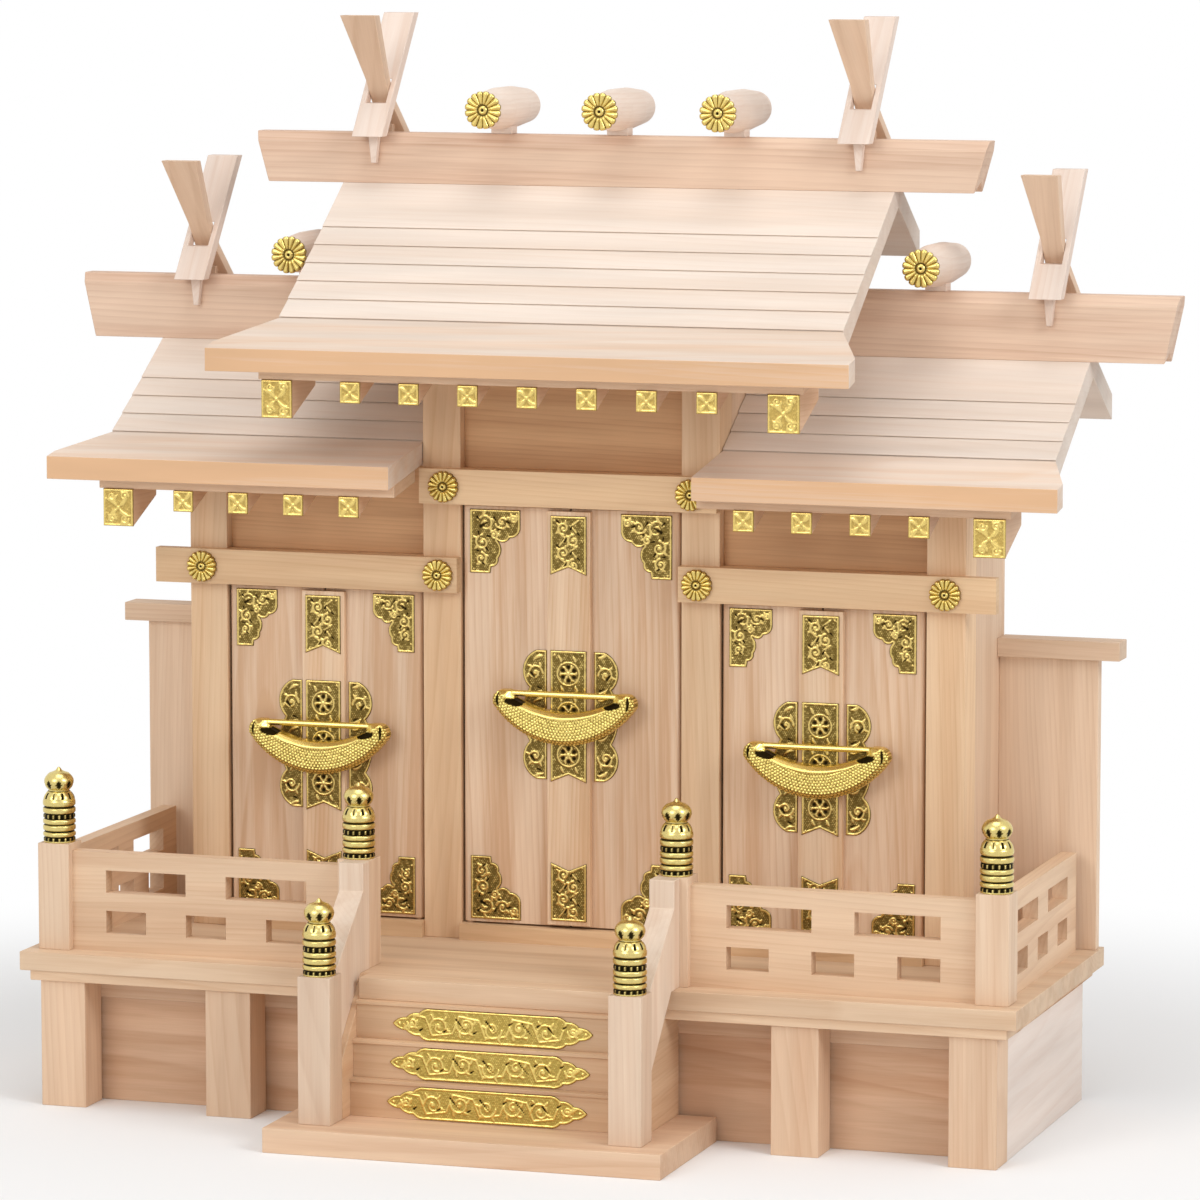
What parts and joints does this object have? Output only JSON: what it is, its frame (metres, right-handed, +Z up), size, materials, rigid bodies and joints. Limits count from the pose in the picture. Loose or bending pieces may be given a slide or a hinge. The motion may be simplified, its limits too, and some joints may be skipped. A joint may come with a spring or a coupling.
{
  "type": "household shrine",
  "caption": "Wooden household altar shrine with a stepped front veranda, lapped pitched roofs, ridge finials, and double doors that open on pivots to chambers behind.",
  "frame": {"origin": "centre of the bounding box at the level of the shelf it stands on", "axes": "+Z up, front faces -Y, +X to the viewer's right"},
  "size_m": [0.528, 0.263, 0.4888],
  "materials": {
    "cypress_frame": "planed unfinished cypress",
    "cypress_roof": "planed unfinished cypress, palest boards",
    "cypress_ridge": "planed unfinished cypress, pinkish heartwood",
    "cypress_door": "planed unfinished cypress, straight grain",
    "gilt_metal": "pressed and gilt thin brass"
  },
  "bodies": {
    "root": {"back_boards": "cypress_frame", "beam_rosettes": "gilt_metal", "billet_caps": "gilt_metal", "crossbeams": "cypress_frame", "door_sills": "cypress_frame", "eave_boards": "cypress_roof", "eave_strips": "cypress_roof", "finial_front_blades": "cypress_frame", "finial_rear_blades": "cypress_frame", "floor_strip": "cypress_frame", "front_railings": "cypress_frame", "front_roof_boards": "cypress_roof", "plinth_back_board": "cypress_frame", "plinth_front_board": "cypress_frame", "plinth_posts": "cypress_frame", "plinth_sides": "cypress_frame", "plinth_top_rail": "cypress_frame", "post_caps": "gilt_metal", "rafter_caps": "gilt_metal", "rafters": "cypress_frame", "rear_roof_boards": "cypress_roof", "ridge_beams": "cypress_ridge", "ridge_billets": "cypress_frame", "screen_caps": "cypress_frame", "shrine_posts": "cypress_frame", "side_railings": "cypress_frame", "side_screens": "cypress_frame", "side_walls": "cypress_frame", "stair_ground_plate": "cypress_frame", "stair_landing": "cypress_frame", "stair_newels": "cypress_frame", "stair_parapets": "cypress_frame", "stair_plates": "gilt_metal", "stair_risers": "cypress_frame", "stair_sides": "cypress_frame", "stair_treads": "cypress_frame", "transom_panels": "cypress_frame", "veranda_floor": "cypress_frame", "veranda_posts": "cypress_frame"},
    "main_left_leaf": {"main_door_left": "cypress_door", "main_door_plates_left": "gilt_metal"},
    "main_right_leaf": {"main_door_right": "cypress_door", "main_door_batten": "cypress_door", "main_door_plates_right": "gilt_metal", "main_lock": "gilt_metal"},
    "left_left_leaf": {"left_door_left": "cypress_door", "left_door_plates_left": "gilt_metal"},
    "left_right_leaf": {"left_door_right": "cypress_door", "left_door_batten": "cypress_door", "left_door_plates_right": "gilt_metal", "left_lock": "gilt_metal"},
    "right_left_leaf": {"right_door_left": "cypress_door", "right_door_plates_left": "gilt_metal"},
    "right_right_leaf": {"right_door_right": "cypress_door", "right_door_batten": "cypress_door", "right_door_plates_right": "gilt_metal", "right_lock": "gilt_metal"}
  },
  "joints": [
    {"name": "main_right_leaf_hinge", "type": "hinge", "parent": "root", "child": "main_right_leaf", "pos_m": [0.0489, 0.025, 0.078], "axis": [0, 0, 1], "range_deg": [0, 90]},
    {"name": "main_left_leaf_hinge", "type": "hinge", "parent": "root", "child": "main_left_leaf", "pos_m": [-0.0489, 0.025, 0.078], "axis": [0, 0, -1], "range_deg": [0, 90]},
    {"name": "left_right_leaf_hinge", "type": "hinge", "parent": "root", "child": "left_right_leaf", "pos_m": [-0.0739, 0.025, 0.078], "axis": [0, 0, 1], "range_deg": [0, 90]},
    {"name": "left_left_leaf_hinge", "type": "hinge", "parent": "root", "child": "left_left_leaf", "pos_m": [-0.1625, 0.025, 0.078], "axis": [0, 0, -1], "range_deg": [0, 90]},
    {"name": "right_right_leaf_hinge", "type": "hinge", "parent": "root", "child": "right_right_leaf", "pos_m": [0.1625, 0.025, 0.078], "axis": [0, 0, 1], "range_deg": [0, 90]},
    {"name": "right_left_leaf_hinge", "type": "hinge", "parent": "root", "child": "right_left_leaf", "pos_m": [0.0739, 0.025, 0.078], "axis": [0, 0, -1], "range_deg": [0, 90]}
  ],
  "couplings": [
    {"joint": "main_left_leaf_hinge", "follows": "main_right_leaf_hinge", "ratio": 1},
    {"joint": "left_left_leaf_hinge", "follows": "left_right_leaf_hinge", "ratio": 1},
    {"joint": "right_left_leaf_hinge", "follows": "right_right_leaf_hinge", "ratio": 1}
  ]
}
